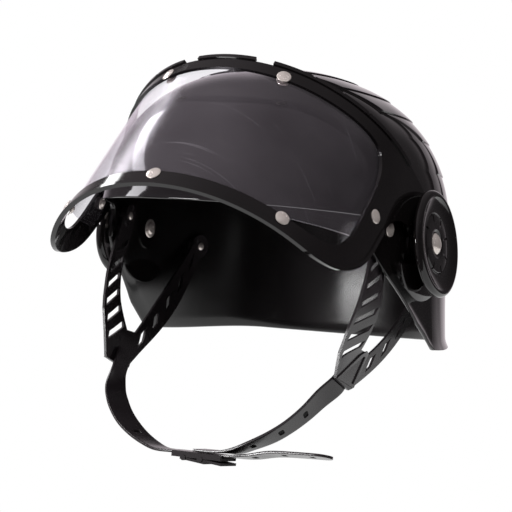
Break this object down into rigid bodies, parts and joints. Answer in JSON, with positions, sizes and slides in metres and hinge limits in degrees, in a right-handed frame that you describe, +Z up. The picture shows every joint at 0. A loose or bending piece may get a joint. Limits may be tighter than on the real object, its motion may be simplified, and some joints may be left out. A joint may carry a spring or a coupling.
{
  "type": "visor helmet",
  "caption": "Light moulded police play helmet in gloss black, with a raised clear visor, turning ear discs and a lattice chin strap with ladder buckle",
  "frame": {"origin": "middle of the visor's hinge axis, between the two ear pivots, where the wearer's head sits", "axes": "+X to the wearer's left along the hinge axis, -Y to the front, +Z up"},
  "size_m": [0.2316, 0.2847, 0.2431],
  "materials": {
    "gloss_black": "gloss",
    "strap_black": "satin",
    "nickel": "polished",
    "clear_sheet": "clear"
  },
  "bodies": {
    "helmet": {"shell": "gloss_black", "pivot_rivet_left": "nickel", "pivot_rivet_right": "nickel", "pivot_washer_left": "nickel", "pivot_washer_right": "nickel", "strap_yoke_left": "strap_black", "strap_yoke_right": "strap_black", "yoke_rivets_left": "nickel", "yoke_rivets_right": "nickel", "chin_strap_left": "strap_black", "chin_strap_right": "strap_black", "chin_buckle": "strap_black"},
    "visor": {"visor_frame": "gloss_black", "visor_window": "clear_sheet", "visor_rivets_top": "nickel", "visor_rivets_bottom": "nickel", "visor_rivets_side": "nickel", "visor_washers_top": "nickel", "visor_washers_bottom": "nickel", "visor_washers_side": "nickel"},
    "ear_disc_left": {"ear_disc_left": "gloss_black"},
    "ear_disc_right": {"ear_disc_right": "gloss_black"}
  },
  "joints": [
    {"name": "visor_hinge", "type": "hinge", "parent": "helmet", "child": "visor", "pos_m": [0, 0, 0], "axis": [-1, 0, 0], "range_deg": [-41, 30]},
    {"name": "disc_left_spin", "type": "hinge", "parent": "helmet", "child": "ear_disc_left", "pos_m": [0.104, 0, 0], "axis": [0.9892, 0.0518, 0.1374], "continuous": true},
    {"name": "disc_right_spin", "type": "hinge", "parent": "helmet", "child": "ear_disc_right", "pos_m": [-0.104, 0, 0], "axis": [-0.9892, 0.0518, 0.1374], "continuous": true}
  ]
}
